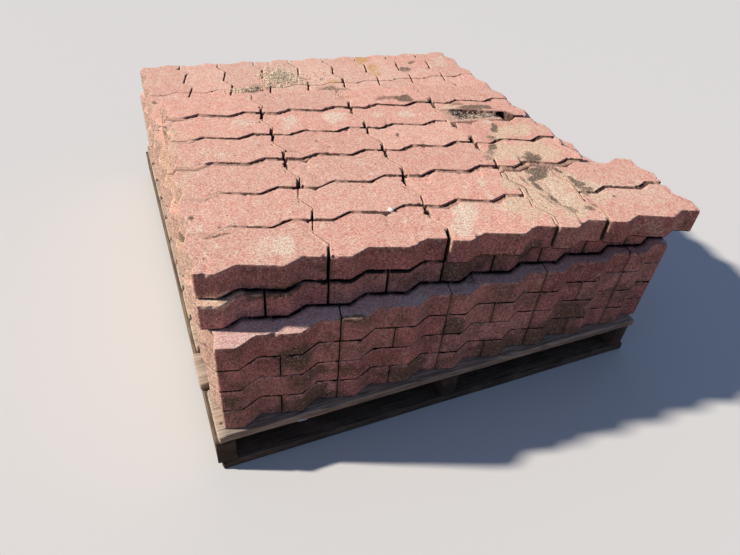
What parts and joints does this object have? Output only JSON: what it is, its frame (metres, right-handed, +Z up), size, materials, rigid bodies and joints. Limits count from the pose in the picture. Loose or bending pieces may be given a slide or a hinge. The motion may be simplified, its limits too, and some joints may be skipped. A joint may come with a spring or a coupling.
{
  "type": "pallet of paving blocks",
  "caption": "Six-layer stack of interlocking zigzag concrete paving blocks on a weathered wooden stringer pallet, its top layer partly used up.",
  "frame": {"origin": "centre of the pallet's footprint on the floor, under the middle bottom board", "axes": "+X along the deck boards to the right, +Y along the stringers from the front to the back, +Z up"},
  "size_m": [1.0735, 1.2338, 0.426],
  "materials": {
    "paving_concrete": "rough pressed concrete, red, weathered",
    "pallet_wood": "rough sawn, weathered grey"
  },
  "bodies": {
    "root": {"layer_1_blocks": "paving_concrete", "layer_2_blocks": "paving_concrete", "layer_3_blocks": "paving_concrete", "layer_4_blocks": "paving_concrete", "layer_5_blocks": "paving_concrete", "layer_6_blocks": "paving_concrete", "hidden_inner_blocks": "paving_concrete", "deck_board_1": "pallet_wood", "deck_board_2": "pallet_wood", "deck_board_3": "pallet_wood", "deck_board_4": "pallet_wood", "deck_board_5": "pallet_wood", "deck_board_6": "pallet_wood", "deck_board_7": "pallet_wood", "deck_board_8": "pallet_wood", "deck_board_9": "pallet_wood", "deck_board_10": "pallet_wood", "deck_board_11": "pallet_wood", "bottom_board_1": "pallet_wood", "bottom_board_2": "pallet_wood", "bottom_board_3": "pallet_wood", "bottom_board_4": "pallet_wood", "bottom_board_5": "pallet_wood", "stringer_left": "pallet_wood", "stringer_middle": "pallet_wood", "stringer_right": "pallet_wood"}
  },
  "joints": []
}
